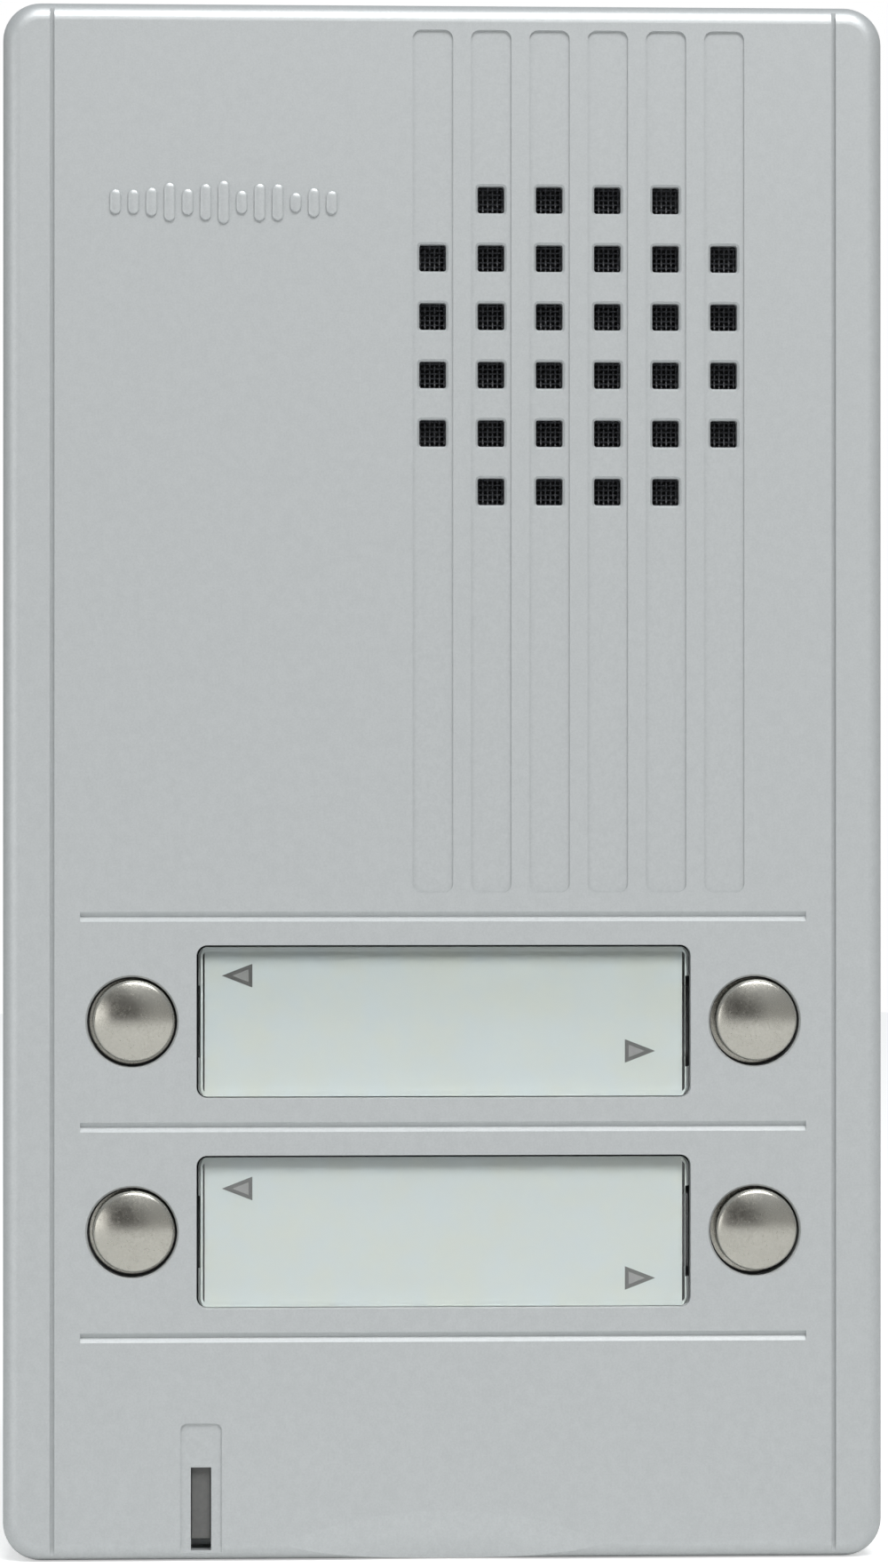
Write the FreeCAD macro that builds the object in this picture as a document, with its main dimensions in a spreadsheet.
"""Door intercom panel: a surface-mounted entrance station with four call buttons.

The origin is the middle of the wall plane. +Z is up and the front faces -Y. Depths are
given as heights out from the wall, so a height of 5 lies at y = -5.
"""
import FreeCAD, Part
import math
import os
import re
import Sketcher

# Every driving size, in millimetres or degrees, with what it measures.
SIZES = {
    "panel_width": (98, "front cover, left to right"),
    "panel_height": (173, "front cover, top to bottom"),
    "panel_depth": (31, "wall plane to front face"),
    "corner_radius": (4.2, "rounding of the cover's outline"),
    "front_round": (2.0, "rounding of the cover's front edge"),
    "wall_thick": (1.8, "cover side walls"),
    "face_thick": (2.0, "cover front face"),
    "wing_inset": (5.5, "side edge to the long wing groove"),
    "wing_groove_width": (0.5, "long wing groove"),
    "wing_groove_depth": (0.5, "long wing groove"),
    "row_inset": (8.6, "side edge to the end of a row groove"),
    "row_groove_width": (1.1, "V groove above and below each button row"),
    "row_groove_depth": (0.5, "V groove above and below each button row"),
    "row_pitch": (23.35, "one button row to the next"),
    "row_count": (2, "button rows"),
    "first_groove_rise": (24.8, "bottom edge to the lowest row groove"),
    "strip_width": (4.5, "recessed strip of the grille"),
    "strip_depth": (0.3, "recessed strip of the grille"),
    "strip_round": (1.0, "corner of a recessed strip"),
    "strip_drop": (2.9, "top edge to the top of the strips"),
    "strip_gap": (2.65, "bottom of the strips to the first row groove"),
    "hole_pitch": (6.5, "one sound hole to the next"),
    "hole_side": (3.0, "square sound hole"),
    "hole_round": (0.3, "corner of a sound hole"),
    "hole_bevel": (0.25, "bevel round a sound hole"),
    "grille_count": (6, "columns, and rows, of sound holes"),
    "grille_inset": (34, "right edge to the middle of the grille"),
    "grille_drop": (38, "top edge to the middle of the grille"),
    "emblem_inset": (12.5, "left edge to the raised wave emblem"),
    "emblem_drop": (22.2, "top edge to the middle of the emblem"),
    "emblem_height": (4.2, "tallest bar of the emblem"),
    "emblem_pitch": (2.0, "one emblem bar to the next"),
    "emblem_bar": (0.9, "width of an emblem bar"),
    "emblem_relief": (0.2, "height of the emblem"),
    "emblem_count": (13, "bars in the emblem"),
    "button_inset": (14.35, "side edge to a button's middle"),
    "button_hole_radius": (5.0, "hole in the cover for a call button"),
    "button_bevel": (0.2, "bevel round a button hole"),
    "button_gap": (0.47, "clearance round the cap in its hole"),
    "cap_shift_right": (0.17, "caps to the right of the middle of their holes"),
    "cap_shift_up": (0.14, "caps above the middle of their holes"),
    "cap_edge_out": (0.45, "edge of the cap above the face"),
    "cap_crown": (0.8, "rise of the cap's dome above its edge"),
    "cap_edge_round": (0.6, "rounding between the cap's dome and side"),
    "cap_flange_radius": (6.2, "flange that keeps the cap in the cover"),
    "cap_flange_thick": (1.0, "flange that keeps the cap in the cover"),
    "seal_thick": (0.5, "rubber ring between cap flange and cover"),
    "rest_gap": (0.05, "cap flange to seal at rest"),
    "stem_radius": (2.0, "plastic stem behind a cap"),
    "stem_seat": (0.6, "how deep the stem sits in the cap"),
    "slide_gap": (0.06, "clearance of a sliding fit"),
    "spring_length": (2.95, "button spring as fitted"),
    "spring_radius": (3.4, "middle of the spring's wire"),
    "spring_wire": (0.2, "radius of the spring's wire"),
    "spring_turns": (3.5, "turns of a button spring"),
    "switch_side": (6.0, "push switch, square body"),
    "switch_height": (3.5, "push switch body above the board"),
    "switch_plunger_radius": (1.75, "plunger of a push switch"),
    "switch_plunger_rise": (1.1, "plunger above the switch body"),
    "switch_plunger_depth": (0.6, "plunger inside the switch body"),
    "switch_travel": (0.25, "how far a switch plunger goes in"),
    "lost_motion": (0.8, "stem to switch plunger at rest"),
    "window_height": (17.0, "name window opening"),
    "window_land": (2.15, "cover between a window and a button hole"),
    "window_round": (1.2, "corner of a name window"),
    "window_gap": (0.2, "clearance round a lens"),
    "lens_proud": (0.3, "lens above the cover's face"),
    "lens_thick": (1.6, "clear lens"),
    "lens_bevel": (0.5, "bevel round a lens"),
    "lens_leg_thick": (0.6, "leg at each end of a lens"),
    "lens_leg_width": (8.0, "leg at each end of a lens"),
    "lens_leg_length": (3.7, "leg at each end of a lens"),
    "pry_depth": (0.45, "notch that a blade goes into"),
    "pry_width": (10.1, "notch that a blade goes into"),
    "card_thick": (0.25, "paper name card"),
    "card_gap": (0.05, "card to lens"),
    "guide_gap": (0.1, "light guide to the lens legs"),
    "guide_wall": (1.2, "wall of a light guide"),
    "guide_front": (1.5, "front of a light guide"),
    "guide_margin": (0.3, "window opening to light guide, above and below"),
    "light_inset": (3.5, "edge of a light guide to the opening behind it"),
    "lamp_width": (3.5, "light-emitting diode"),
    "lamp_height": (2.8, "light-emitting diode"),
    "lamp_depth": (1.9, "light-emitting diode"),
    "lamp_spacing": (28, "one diode to the other behind a window"),
    "mesh_thick": (0.3, "woven wire mesh behind the sound holes"),
    "mesh_margin": (1.2, "mesh past the outer sound holes"),
    "speaker_radius": (25, "loudspeaker flange"),
    "speaker_gasket_thick": (2.0, "foam ring before the loudspeaker"),
    "speaker_land": (3.0, "width of the loudspeaker's rim"),
    "flange_thick": (1.0, "loudspeaker flange"),
    "basket_depth": (8.3, "front of the flange to the top plate"),
    "basket_wall": (0.6, "sheet of the loudspeaker frame"),
    "basket_window": (2.4, "radius of a window in the basket"),
    "basket_windows": (6, "windows in the basket"),
    "top_plate_thick": (2.0, "loudspeaker top plate"),
    "top_plate_radius": (12, "loudspeaker top plate"),
    "magnet_thick": (6.0, "loudspeaker magnet"),
    "magnet_radius": (13.5, "loudspeaker magnet"),
    "magnet_bore": (8.5, "hole in the magnet"),
    "yoke_thick": (2.0, "disc behind the magnet"),
    "pole_radius": (6.7, "pole in the middle of the voice coil"),
    "coil_radius": (6.9, "inside of the voice coil"),
    "coil_thick": (0.25, "wall of the voice coil"),
    "coil_length": (5.0, "voice coil"),
    "coil_gap": (0.2, "top plate to voice coil"),
    "cone_radius": (18.2, "outer edge of the cone"),
    "cone_thick": (0.4, "cone"),
    "cone_depth": (5.0, "edge of the cone to its neck"),
    "cap_rise": (1.6, "height of the dust cap"),
    "surround_rise": (1.0, "height of the surround's roll"),
    "surround_thick": (0.25, "surround"),
    "surround_land": (1.2, "surround glued on the rim"),
    "cone_lip": (0.6, "surround glued on the cone"),
    "tab_width": (8.0, "solder tab on the loudspeaker"),
    "tab_height": (4.0, "solder tab on the loudspeaker"),
    "tab_overhang": (1.8, "tab past the edge of the flange"),
    "clamp_count": (3, "clamps round the loudspeaker"),
    "clamp_reach": (3.8, "flange edge to a clamp's screw"),
    "clamp_thick": (0.8, "loudspeaker clamp"),
    "clamp_width": (6.0, "loudspeaker clamp"),
    "clamp_lap": (1.8, "clamp over the flange"),
    "boss_radius": (3.0, "screw boss"),
    "small_screw": (1.1, "radius of the small screws' thread"),
    "small_screw_head": (2.1, "radius of the small screws' head"),
    "small_head_height": (1.4, "head of the small screws"),
    "small_screw_length": (4.2, "small screws under the head"),
    "pilot_past": (0.5, "pilot hole past the foot of its boss"),
    "thread_gap": (0.02, "thread to its hole"),
    "shank_gap": (0.2, "screw to its clearance hole"),
    "boss_inset": (8.5, "side edge to a chassis boss"),
    "boss_rise": (12.5, "bottom edge to the lower chassis bosses"),
    "boss_drop": (12.0, "top of the chassis to its upper bosses"),
    "chassis_gap": (2.8, "cover wall to chassis"),
    "chassis_foot": (4.5, "bottom edge to the chassis"),
    "chassis_head": (8.0, "first row groove to the top of the chassis"),
    "chassis_thick": (2.0, "chassis plate"),
    "chassis_rim": (1.2, "wall round the chassis"),
    "post_length": (5.5, "chassis plate to the board"),
    "post_inset": (19, "side edge to an upper board post"),
    "low_post_inset": (34, "side edge to a lower board post"),
    "post_rise": (16.5, "bottom edge to the lower board posts"),
    "post_drop": (5.5, "top of the chassis to the upper board posts"),
    "board_thick": (1.6, "main circuit board"),
    "board_gap": (0.5, "chassis wall to board"),
    "board_foot": (4.8, "bottom of the board above the chassis wall"),
    "mic_inset": (22.0, "left edge to the microphone"),
    "mic_pad_width": (4.6, "recess round the microphone slot"),
    "mic_pad_rise": (15.3, "bottom edge to the top of that recess"),
    "mic_pad_round": (0.8, "corner of that recess"),
    "mic_slot_width": (2.25, "microphone slot"),
    "mic_slot_depth": (5.0, "microphone slot, from the face into the bottom wall"),
    "mic_slot_rise": (10.4, "bottom edge to the top of the slot"),
    "mic_slot_foot": (1.2, "bottom edge to the foot of the slot"),
    "mic_rise": (7.6, "bottom edge to the microphone"),
    "mic_radius": (3.0, "microphone"),
    "mic_depth": (2.7, "microphone"),
    "mic_cover": (1.4, "rubber before the microphone"),
    "boot_width": (8.0, "rubber microphone boot"),
    "boot_foot": (2.3, "bottom edge to the boot"),
    "boot_height": (9.2, "rubber microphone boot"),
    "boot_depth": (6.5, "rubber microphone boot"),
    "boot_rib_out": (0.9, "rib of the boot in the slot"),
    "boot_rib_gap": (0.12, "slot to rib, each side"),
    "sound_bore": (0.7, "radius of the boot's sound channel"),
    "scoop_half": (22, "half the width of the scoop at the bottom edge"),
    "scoop_rise": (5.5, "height of the scoop"),
    "scoop_bend": (13.0, "radius that the face rolls back with in the scoop"),
    "scoop_start": (3.0, "degrees that the scoop starts with at its rim"),
    "gasket_thick": (1.5, "foam seal against the wall"),
    "gasket_width": (3.6, "foam seal against the wall"),
    "gasket_inset": (0.3, "cover's edge to the foam seal"),
    "bracket_thick": (1.2, "steel wall bracket"),
    "bracket_gap": (0.6, "foam seal to bracket"),
    "bracket_round": (3.0, "corners of the bracket"),
    "lip_width": (50, "bent top edge of the bracket"),
    "lip_out": (8.0, "bent top edge of the bracket, from the wall"),
    "peg_spacing": (30, "one hanging peg to the other"),
    "peg_width": (3.6, "hanging peg of the cover"),
    "peg_out": (6.3, "front of a hanging peg, from the wall"),
    "peg_thick": (2.0, "hanging peg of the cover"),
    "peg_length": (3.4, "hanging peg below the cover's top wall"),
    "peg_gap": (0.4, "hanging peg to its slot"),
    "foot_width": (14, "bent screw tab of the bracket"),
    "foot_out": (9.0, "bent screw tab of the bracket, from the wall"),
    "cover_screw_out": (5.5, "cover screw from the wall"),
    "cover_screw_radius": (1.5, "thread of the cover screw"),
    "cover_screw_head": (2.9, "head of the cover screw"),
    "cover_head_height": (1.4, "head of the cover screw"),
    "cover_screw_length": (7.0, "cover screw, all of it"),
    "cover_screw_sink": (0.1, "head of the cover screw below the bottom edge"),
    "cover_screw_rim": (0.2, "head of the cover screw, less than its countersink"),
    "drive_radius": (1.2, "hexagon in the head of the cover screw"),
    "drive_depth": (1.2, "hexagon in the head of the cover screw"),
    "cable_width": (40, "cable opening in the bracket"),
    "cable_height": (22, "cable opening in the bracket"),
    "cable_rise": (12, "middle of the bracket to the cable opening"),
    "box_spacing": (83.5, "one wall-box slot to the other"),
    "box_slot_length": (8.0, "wall-box slot"),
    "box_slot_radius": (2.2, "half the width of a wall-box slot"),
    "wall_hole_radius": (2.1, "wall screw hole"),
    "wall_hole_inset": (14, "cover's side edge to a wall screw hole"),
    "wall_hole_drop": (16.5, "cover's top or bottom edge to a wall screw hole"),
    "terminal_width": (40, "terminal block"),
    "terminal_height": (9.5, "terminal block"),
    "terminal_depth": (8.4, "terminal block"),
    "terminal_count": (8, "ways of the terminal block"),
    "terminal_drop": (1.5, "top of the board to the terminal block"),
    "terminal_entry": (2.6, "square wire entry"),
    "terminal_well": (1.7, "radius of a screw well"),
    "terminal_well_depth": (4.0, "screw well"),
    "terminal_kerf": (0.5, "slot across a terminal screw"),
    "socket_width": (5.0, "lead socket"),
    "socket_height": (5.0, "lead socket"),
    "socket_depth": (4.0, "lead socket"),
    "socket_inset": (12, "side edge to the speaker's socket"),
    "socket_drop": (2.0, "top of the board to the speaker's socket"),
    "mic_socket_rise": (19, "bottom edge to the microphone's socket"),
    "lead_radius": (0.5, "insulated lead"),
    "lead_spacing": (2.0, "one lead to the other"),
    "lead_bend": (2.5, "middle radius of a lead's bends"),
    "lead_drop": (9.0, "straight run of the speaker leads into their socket"),
    "relay_width": (19, "door lock relay"),
    "relay_height": (15, "door lock relay"),
    "relay_depth": (8.2, "door lock relay"),
    "relay_inset": (3.0, "edge of the board to the relay"),
    "relay_drop": (4.0, "terminal block to the relay"),
    "capacitor_count": (3, "electrolytic capacitors"),
    "capacitor_gap": (2.0, "one capacitor to the next"),
    "capacitor_start": (8.0, "first capacitor from the middle of the board"),
    "capacitor_radius": (4.0, "electrolytic capacitor"),
    "capacitor_depth": (8.2, "electrolytic capacitor"),
    "trimmer_side": (6.5, "volume trimmer"),
    "trimmer_depth": (4.5, "volume trimmer"),
    "trimmer_inset": (3.0, "edge of the board to the volume trimmers"),
    "trimmer_gap": (3.0, "one trimmer to the next"),
    "trimmer_kerf": (0.8, "slot in a trimmer"),
    "trimmer_kerf_depth": (1.0, "slot in a trimmer"),
    "chip_depth": (1.8, "circuit chips"),
    "chip_drop": (12.0, "relay to the middle of the chips"),
    "large_chip": (12.0, "side of the square chip"),
    "large_chip_inset": (22.0, "square chip from the middle of the board"),
    "middle_chip": (10.0, "long side of the second chip"),
    "small_chip": (6.0, "long side of the smallest chip"),
    "small_chip_inset": (18.0, "smallest chip from the middle of the board"),
}
SHEET_NAME = "Sizes"

doc = FreeCAD.newDocument("DoorIntercomPanel")
sheet = doc.addObject("Spreadsheet::Sheet", SHEET_NAME)
for row, (alias, (size, meaning)) in enumerate(SIZES.items(), start=1):
    sheet.set("A%d" % row, meaning)
    sheet.set("B%d" % row, str(size))
    sheet.setAlias("B%d" % row, alias)
doc.recompute()

nodes = []


# ---------------------------------------------------------------- formulas and bindings

def formula(text):
    """Write a size formula with the sheet's name before each size."""
    def cell(word):
        name = word.group()
        return SHEET_NAME + "." + name if name in SIZES else name
    return re.sub(r"[a-z][a-z0-9_]*", cell, str(text))


def number(text):
    """What a size formula comes to now."""
    return float(sheet.evalExpression(formula(text)))


def bind(thing, property_name, text):
    """Tie a property to a size formula."""
    thing.setExpression(property_name, formula(text))


def place(thing, x="0", y="0", z="0"):
    """Tie where a piece stands to size formulas."""
    bind(thing, "Placement.Base.x", x)
    bind(thing, "Placement.Base.y", y)
    bind(thing, "Placement.Base.z", z)


def node(thing, label):
    """Make a finished piece a node of the part, with its own label."""
    thing.Label = label
    nodes.append(thing)
    return thing


# ---------------------------------------------------------------- heights out from the wall

FACE = "panel_depth"
FACE_BACK = "(panel_depth - face_thick)"
STRIP_FLOOR = "(panel_depth - strip_depth)"
MESH_BACK = "(%s - mesh_thick)" % FACE_BACK
FLANGE_FRONT = "(%s - speaker_gasket_thick)" % MESH_BACK
FLANGE_BACK = "(%s - flange_thick)" % FLANGE_FRONT
CLAMP_BACK = "(%s - clamp_thick)" % FLANGE_BACK
PLATE_FRONT = "(%s - basket_depth)" % FLANGE_FRONT
PLATE_BACK = "(%s - top_plate_thick)" % PLATE_FRONT
MAGNET_BACK = "(%s - magnet_thick)" % PLATE_BACK
YOKE_BACK = "(%s - yoke_thick)" % MAGNET_BACK
SEAL_BACK = "(%s - seal_thick)" % FACE_BACK
CAP_FLANGE_FRONT = "(%s - rest_gap)" % SEAL_BACK
CAP_FLANGE_BACK = "(%s - cap_flange_thick)" % CAP_FLANGE_FRONT
CHASSIS_FRONT = "(%s - spring_length)" % CAP_FLANGE_BACK
CHASSIS_BACK = "(%s - chassis_thick)" % CHASSIS_FRONT
BOARD_FRONT = "(%s - post_length)" % CHASSIS_BACK
BOARD_BACK = "(%s - board_thick)" % BOARD_FRONT
SWITCH_FRONT = "(%s + switch_height)" % BOARD_FRONT
PLUNGER_FRONT = "(%s + switch_plunger_rise)" % SWITCH_FRONT
STEM_BACK = "(%s + lost_motion)" % PLUNGER_FRONT
LENS_FRONT = "(panel_depth + lens_proud)"
LENS_BACK = "(%s - lens_thick)" % LENS_FRONT
CARD_FRONT = "(%s - card_gap)" % LENS_BACK
CARD_BACK = "(%s - card_thick)" % CARD_FRONT
MIC_FRONT = "(%s - mic_cover)" % FACE_BACK

# ---------------------------------------------------------------- places across the panel

HALF_WIDTH = "(panel_width / 2)"
HALF_HEIGHT = "(panel_height / 2)"
BOTTOM = "(-panel_height / 2)"
FIRST_GROOVE = "(%s + first_groove_rise + row_count * row_pitch)" % BOTTOM
BUTTON_X = "(%s - button_inset)" % HALF_WIDTH
WINDOW_HALF = "(%s - button_hole_radius - window_land)" % BUTTON_X
GRILLE_X = "(%s - grille_inset)" % HALF_WIDTH
GRILLE_Z = "(%s - grille_drop)" % HALF_HEIGHT
CHASSIS_HALF = "(%s - wall_thick - chassis_gap)" % HALF_WIDTH
CHASSIS_TOP = "(%s + chassis_head)" % FIRST_GROOVE
CHASSIS_BOTTOM = "(%s + chassis_foot)" % BOTTOM
BOARD_HALF = "(%s - chassis_rim - board_gap)" % CHASSIS_HALF
BOARD_TOP = "(%s - chassis_rim - board_gap)" % CHASSIS_TOP
BOARD_BOTTOM = "(%s + chassis_rim + board_foot)" % CHASSIS_BOTTOM
GUIDE_HALF = "(%s - window_gap - lens_leg_thick - guide_gap)" % WINDOW_HALF
GUIDE_HEIGHT = "(window_height - 2 * guide_margin)"
MIC_X = "(mic_inset - %s)" % HALF_WIDTH
MIC_Z = "(%s + mic_rise)" % BOTTOM
BOSS_X = "(%s - boss_inset)" % HALF_WIDTH
SOCKET_X = "(%s - socket_inset)" % HALF_WIDTH
BRACKET_HALF_WIDTH = "(%s - gasket_inset - gasket_width - bracket_gap)" % HALF_WIDTH
BRACKET_HALF_HEIGHT = "(%s - gasket_inset - gasket_width - bracket_gap)" % HALF_HEIGHT

ROWS = {"upper": "(%s - row_pitch / 2)" % FIRST_GROOVE,
        "lower": "(%s - 3 * row_pitch / 2)" % FIRST_GROOVE}
SIDES = {"left": "-1", "right": "1"}
BUTTON_HOLES = {row + "_" + side: (sign + " * " + BUTTON_X, z)
                for row, z in ROWS.items() for side, sign in SIDES.items()}
BUTTONS = {name: (x + " + cap_shift_right", z + " + cap_shift_up")
           for name, (x, z) in BUTTON_HOLES.items()}
BOSSES = [(sign + " * " + BOSS_X, z) for sign in SIDES.values()
          for z in ("%s + boss_rise" % BOTTOM, "%s - boss_drop" % CHASSIS_TOP)]
POSTS = [("%s * (%s - %s)" % (sign, HALF_WIDTH, inset), z) for sign in SIDES.values()
         for inset, z in (("low_post_inset", "%s + post_rise" % BOTTOM),
                          ("post_inset", "%s - post_drop" % CHASSIS_TOP))]


def clamp_angle(index):
    """Direction of a loudspeaker clamp, in degrees from +X."""
    return 90 + index * 360 / number("clamp_count")


def clamp_place(index, reach="clamp_reach"):
    """Formulas for a point on a clamp's own radius, reach past the flange's edge."""
    angle = clamp_angle(index)
    radius = "(speaker_radius + %s)" % reach
    return ("%s + %s * cos(%g deg)" % (GRILLE_X, radius, angle),
            "%s + %s * sin(%g deg)" % (GRILLE_Z, radius, angle))


CLAMPS = [clamp_place(index) for index in range(int(number("clamp_count")))]


# ---------------------------------------------------------------- sketches

def new_body(label):
    """A body that becomes a node under this label."""
    body = doc.addObject("PartDesign::Body", label)
    return node(body, label)


def new_sketch(body, role="XZ_Plane", offset="0"):
    """A sketch on one of the body's own planes, moved along the plane's normal.

    On XZ_Plane the sketch's axes are +X and +Z, and the offset is the height out from the wall.
    """
    plane = next(face for face in body.Origin.OriginFeatures if face.Role == role)
    sketch = body.newObject("Sketcher::SketchObject", body.Name + "_sketch")
    sketch.AttachmentSupport = (plane, [""])
    sketch.MapMode = "FlatFace"
    bind(sketch, "AttachmentOffset.Base.z", offset)
    return sketch


def constrain(sketch, kind, text, *where):
    """Add a dimension to a sketch and tie it to a size formula."""
    index = sketch.addConstraint(Sketcher.Constraint(kind, *where, number(text)))
    bind(sketch, "Constraints[%d]" % index, text)


def fix_point(sketch, edge, point, across, up):
    """Dimension a point from the sketch's origin."""
    constrain(sketch, "DistanceX", across, -1, 1, edge, point)
    constrain(sketch, "DistanceY", up, -1, 1, edge, point)


def draw_outline(sketch, corners, arcs=None):
    """Draw a closed outline through corners, each a pair of size formulas.

    arcs gives, for the edge that leaves a corner, (centre across, centre up, turn), where turn
    is 1 when the edge goes round its centre from the first sketch axis to the second.
    """
    arcs = arcs or {}
    points = [FreeCAD.Vector(number(across), number(up), 0) for across, up in corners]
    ends = []
    for index, start in enumerate(points):
        finish = points[(index + 1) % len(points)]
        if index in arcs:
            centre = FreeCAD.Vector(number(arcs[index][0]), number(arcs[index][1]), 0)
            first, last = (start, finish) if arcs[index][2] > 0 else (finish, start)
            first_angle = math.atan2(first.y - centre.y, first.x - centre.x)
            last_angle = math.atan2(last.y - centre.y, last.x - centre.x)
            if last_angle <= first_angle:
                last_angle += 2 * math.pi
            circle = Part.Circle(centre, FreeCAD.Vector(0, 0, 1), (start - centre).Length)
            edge = sketch.addGeometry(Part.ArcOfCircle(circle, first_angle, last_angle))
            ends.append((edge, (1, 2) if arcs[index][2] > 0 else (2, 1)))
        else:
            edge = sketch.addGeometry(Part.LineSegment(start, finish))
            ends.append((edge, (1, 2)))
    for index, (edge, (begin, end)) in enumerate(ends):
        following, (next_begin, _) = ends[(index + 1) % len(ends)]
        sketch.addConstraint(Sketcher.Constraint("Coincident", edge, end, following, next_begin))
        fix_point(sketch, edge, begin, *corners[index])
        if index in arcs:
            chord = points[(index + 1) % len(points)] - points[index]
            along = abs(chord.x) >= abs(chord.y)
            kind = "DistanceY" if along else "DistanceX"
            constrain(sketch, kind, arcs[index][1 if along else 0], -1, 1, edge, 3)


def draw_rectangle(sketch, x, z, width, height, radius=None):
    """Draw a rectangle by its middle and sides, with rounded corners if radius is given."""
    left, right = ("%s - (%s) / 2" % (x, width), "%s + (%s) / 2" % (x, width))
    low, high = ("%s - (%s) / 2" % (z, height), "%s + (%s) / 2" % (z, height))
    if radius is None:
        draw_outline(sketch, [(left, low), (right, low), (right, high), (left, high)])
        return
    inner = {"left": "%s + %s" % (left, radius), "right": "%s - %s" % (right, radius),
             "low": "%s + %s" % (low, radius), "high": "%s - %s" % (high, radius)}
    corners = [(inner["left"], low), (inner["right"], low), (right, inner["low"]),
               (right, inner["high"]), (inner["right"], high), (inner["left"], high),
               (left, inner["high"]), (left, inner["low"])]
    arcs = {1: (inner["right"], inner["low"], 1), 3: (inner["right"], inner["high"], 1),
            5: (inner["left"], inner["high"], 1), 7: (inner["left"], inner["low"], 1)}
    draw_outline(sketch, corners, arcs)


def draw_slot(sketch, x, z, radius, length):
    """Draw an upright slot with round ends."""
    low, high = ("%s - %s / 2 + %s" % (z, length, radius), "%s + %s / 2 - %s" % (z, length, radius))
    left, right = ("%s - %s" % (x, radius), "%s + %s" % (x, radius))
    draw_outline(sketch, [(left, low), (right, low), (right, high), (left, high)],
                 {0: (x, low, 1), 2: (x, high, 1)})


def draw_circle(sketch, x, z, radius):
    """Draw a circle by its middle and radius."""
    centre = FreeCAD.Vector(number(x), number(z), 0)
    edge = sketch.addGeometry(Part.Circle(centre, FreeCAD.Vector(0, 0, 1), number(radius)))
    fix_point(sketch, edge, 3, x, z)
    constrain(sketch, "Radius", radius, edge)


# ---------------------------------------------------------------- features

def add_feature(body, kind, sketch, backwards=False, **sizes):
    """Add a feature to a body from a sketch, with its sizes tied to formulas."""
    feature = body.newObject("PartDesign::" + kind, body.Name + "_" + kind.lower())
    feature.Profile = sketch
    feature.Reversed = backwards
    for property_name, text in sizes.items():
        bind(feature, property_name, text)
    body.Tip = feature
    return feature


def pad(body, sketch, length, to_wall=False):
    """Raise a sketch along its plane's normal, or towards the wall."""
    return add_feature(body, "Pad", sketch, backwards=to_wall, Length=length)


def pocket(body, sketch, length, to_front=False, taper=None):
    """Cut a sketch into the body against its plane's normal, or towards the front."""
    feature = add_feature(body, "Pocket", sketch, backwards=to_front, Length=length)
    if taper is not None:
        feature.TaperAngle = taper
    return feature


def turn(body, sketch, kind="Revolution", axis="H_Axis"):
    """Turn a sketch full circle round one of its own axes."""
    feature = add_feature(body, kind, sketch)
    feature.ReferenceAxis = (sketch, [axis])
    feature.Angle = 360
    return feature


def repeat_along(body, features, sketch, across, up):
    """Repeat features in rows: across and up are (count, pitch) along the sketch's axes."""
    pattern = body.newObject("PartDesign::LinearPattern", body.Name + "_pattern")
    pattern.Originals = features
    pattern.Direction = (sketch, ["H_Axis"])
    pattern.Direction2 = (sketch, ["V_Axis"])
    for suffix, (count, pitch) in (("", across), ("2", up)):
        bind(pattern, "Occurrences" + suffix, count)
        bind(pattern, "Length" + suffix, "(%s - 1) * (%s)" % (count, pitch))
    body.Tip = pattern
    return pattern


def edges_where(feature, test):
    """Names of a feature's edges that pass a test."""
    doc.recompute()
    return ["Edge%d" % (index + 1) for index, edge in enumerate(feature.Shape.Edges) if test(edge)]


def dress(body, kind, feature, test, property_name, text):
    """Fillet or chamfer the edges of a feature that pass a test."""
    names = edges_where(feature, test)
    finish = body.newObject("PartDesign::" + kind, body.Name + "_" + kind.lower())
    finish.Base = (feature, names)
    bind(finish, property_name, text)
    body.Tip = finish
    return finish


def at_height(edge, out):
    """True when an edge lies in the plane this far out from the wall."""
    box = edge.BoundBox
    return abs(box.YMin + number(out)) < 0.01 and abs(box.YMax + number(out)) < 0.01


def turned_body(label, profile, x, z, arcs=None):
    """A body turned round an axis square to the wall; profile corners are (out, radius)."""
    body = new_body(label)
    sketch = new_sketch(body, "YZ_Plane")
    corners = [("-(%s)" % out, radius) for out, radius in profile]
    draw_outline(sketch, corners, arcs)
    turn(body, sketch)
    place(body, x=x, z=z)
    return body


# ---------------------------------------------------------------- primitives

def block(name, x, out, z, width, depth, height):
    """A box by the middle of its front: x and z are its middle, out is its front."""
    box = doc.addObject("Part::Box", name)
    bind(box, "Length", width)
    bind(box, "Width", depth)
    bind(box, "Height", height)
    place(box, "%s - (%s) / 2" % (x, width), "-(%s)" % out, "%s - (%s) / 2" % (z, height))
    return box


def rod(name, x, out, z, radius, length):
    """A cylinder square to the wall, from out back towards the wall."""
    cylinder = doc.addObject("Part::Cylinder", name)
    bind(cylinder, "Radius", radius)
    bind(cylinder, "Height", length)
    cylinder.Placement.Rotation = FreeCAD.Rotation(FreeCAD.Vector(1, 0, 0), -90)
    place(cylinder, x, "-(%s)" % out, z)
    return cylinder


def fuse(name, shapes):
    """One solid out of several."""
    joined = doc.addObject("Part::MultiFuse", name)
    joined.Shapes = shapes
    return joined


def cut(name, base, tool):
    """A solid with another taken out of it."""
    result = doc.addObject("Part::Cut", name)
    result.Base = base
    result.Tool = tool
    return result


def group(label, members):
    """Separate solids of the same kind, kept together in one node."""
    compound = doc.addObject("Part::Compound", label)
    compound.Links = members
    return node(compound, label)


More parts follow.
